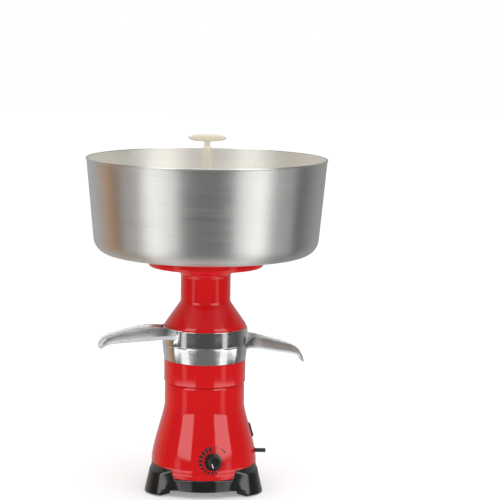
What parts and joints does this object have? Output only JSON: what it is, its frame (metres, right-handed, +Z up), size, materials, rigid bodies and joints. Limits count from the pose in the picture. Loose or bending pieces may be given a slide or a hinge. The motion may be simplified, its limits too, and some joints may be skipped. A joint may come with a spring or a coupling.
{
  "type": "electric cream separator",
  "caption": "Countertop centrifugal cream separator with milk tank, plug valve, float chamber, two spouted receivers, disc drum, motor in a bell housing and footed base.",
  "frame": {"origin": "on the spin axis, in the plane the feet stand on", "axes": "+Z up along the spin axis, -Y the front with the speed knob, +X towards the switch and the cord"},
  "size_m": [0.3662, 0.366, 0.5447],
  "materials": {
    "base": "moulded black plastic, satin gloss",
    "foot_pads": "matt rubber",
    "foot_screws": "zinc plated",
    "base_screws": "zinc plated",
    "motor_housing": "glossy red moulding",
    "drum_chamber": "glossy red moulding",
    "chamber_bolts": "zinc plated",
    "rubber_dampers": "matt rubber",
    "upper_bearing_bracket": "die cast",
    "lower_bearing_bracket": "die cast",
    "motor_bolts": "zinc plated",
    "motor_nuts": "zinc plated",
    "stator_core": "stacked laminations",
    "field_coils": "varnished enamelled copper wire",
    "armature_core": "stacked laminations",
    "armature_winding": "varnished enamelled copper wire",
    "commutator": "copper segments",
    "motor_shaft": "ground",
    "drive_pin": "ground",
    "cooling_fan": "moulded",
    "shaft_slinger": "matt rubber",
    "bearing_outer_rings": "ground",
    "bearing_inner_rings": "ground",
    "bearing_cages": "pressed",
    "bearing_balls": "polished",
    "carbon_brushes": "graphite",
    "brush_holders": "pressed",
    "brush_springs": "spring wire",
    "brush_caps": "moulded",
    "potentiometer": "moulded case and bush",
    "potentiometer_nut": "nickel plated",
    "control_shaft": "moulded",
    "control_board": "glass laminate",
    "board_components": "moulded cases",
    "speed_knob": "glossy black moulding",
    "switch_body": "moulded",
    "switch_rocker": "dark red moulding",
    "switch_terminals": "stamped",
    "cord_grip": "matt rubber",
    "mains_cord": "matt sheath",
    "wiring": "insulated wire",
    "drum_base": "turned",
    "drum_seal": "moulded ring",
    "disc_holder": "food grade moulding",
    "separating_discs": "pressed sheet",
    "dividing_disc": "turned",
    "drum_cover": "turned",
    "cream_screw": "turned",
    "drum_nut": "turned",
    "skim_receiver": "cast and polished",
    "cream_receiver": "cast and polished",
    "float_chamber": "glossy red moulding",
    "float": "food grade moulding",
    "float_seal": "food grade rubber",
    "milk_tank": "spun and brushed round its axis",
    "outlet_fitting": "ivory moulding",
    "outlet_gasket": "food grade rubber",
    "outlet_nut": "ivory moulding",
    "plug_valve": "ivory moulding"
  },
  "bodies": {
    "machine": {"base": "base", "foot_pads": "foot_pads", "foot_screws": "foot_screws", "base_screws": "base_screws", "motor_housing": "motor_housing", "drum_chamber": "drum_chamber", "chamber_bolts": "chamber_bolts", "rubber_dampers": "rubber_dampers", "upper_bearing_bracket": "upper_bearing_bracket", "lower_bearing_bracket": "lower_bearing_bracket", "motor_bolts": "motor_bolts", "motor_nuts": "motor_nuts", "stator_core": "stator_core", "field_coils": "field_coils", "bearing_outer_rings": "bearing_outer_rings", "carbon_brushes": "carbon_brushes", "brush_holders": "brush_holders", "brush_springs": "brush_springs", "brush_caps": "brush_caps", "potentiometer": "potentiometer", "potentiometer_nut": "potentiometer_nut", "control_board": "control_board", "board_components": "board_components", "switch_body": "switch_body", "switch_terminals": "switch_terminals", "cord_grip": "cord_grip", "mains_cord": "mains_cord", "wiring": "wiring", "float_chamber": "float_chamber", "milk_tank": "milk_tank", "outlet_fitting": "outlet_fitting", "outlet_gasket": "outlet_gasket", "outlet_nut": "outlet_nut"},
    "rotor": {"armature_core": "armature_core", "armature_winding": "armature_winding", "commutator": "commutator", "motor_shaft": "motor_shaft", "drive_pin": "drive_pin", "cooling_fan": "cooling_fan", "shaft_slinger": "shaft_slinger", "bearing_inner_rings": "bearing_inner_rings", "drum_base": "drum_base", "drum_seal": "drum_seal", "disc_holder": "disc_holder", "separating_discs": "separating_discs", "dividing_disc": "dividing_disc", "drum_cover": "drum_cover", "cream_screw": "cream_screw", "drum_nut": "drum_nut"},
    "bearing_cages": {"bearing_cages": "bearing_cages", "bearing_balls": "bearing_balls"},
    "knob": {"control_shaft": "control_shaft", "speed_knob": "speed_knob"},
    "rocker": {"switch_rocker": "switch_rocker"},
    "skim_receiver": {"skim_receiver": "skim_receiver"},
    "cream_receiver": {"cream_receiver": "cream_receiver"},
    "float": {"float": "float", "float_seal": "float_seal"},
    "plug": {"plug_valve": "plug_valve"}
  },
  "joints": [
    {"name": "rotor_spin", "type": "hinge", "parent": "machine", "child": "rotor", "pos_m": [0, 0, 0.1], "axis": [0, 0, 1], "continuous": true},
    {"name": "cage_spin", "type": "hinge", "parent": "machine", "child": "bearing_cages", "pos_m": [0, 0, 0.1], "axis": [0, 0, 1], "continuous": true},
    {"name": "plug_turn", "type": "hinge", "parent": "machine", "child": "plug", "pos_m": [0, 0, 0.4], "axis": [0, 0, 1], "range_deg": [0, 90]},
    {"name": "float_lift", "type": "slide", "parent": "machine", "child": "float", "axis": [0, 0, 1], "range_m": [0, 0.01]},
    {"name": "knob_turn", "type": "hinge", "parent": "machine", "child": "knob", "pos_m": [0.0137, -0.07767, 0.057], "axis": [0.1705, -0.9667, 0.1908], "range_deg": [-270, 0]},
    {"name": "rocker_tilt", "type": "hinge", "parent": "machine", "child": "rocker", "pos_m": [0.06979, 0.01357, 0.08624], "axis": [-0.1908, 0.9816, 0], "range_deg": [0, 18]},
    {"name": "cream_receiver_turn", "type": "hinge", "parent": "machine", "child": "cream_receiver", "pos_m": [0, 0, 0.24], "axis": [0, 0, 1], "range_deg": [-60, 60]},
    {"name": "skim_receiver_turn", "type": "hinge", "parent": "machine", "child": "skim_receiver", "pos_m": [0, 0, 0.21], "axis": [0, 0, 1], "range_deg": [-60, 60]}
  ],
  "couplings": [
    {"joint": "cage_spin", "follows": "rotor_spin", "ratio": 0.368}
  ]
}
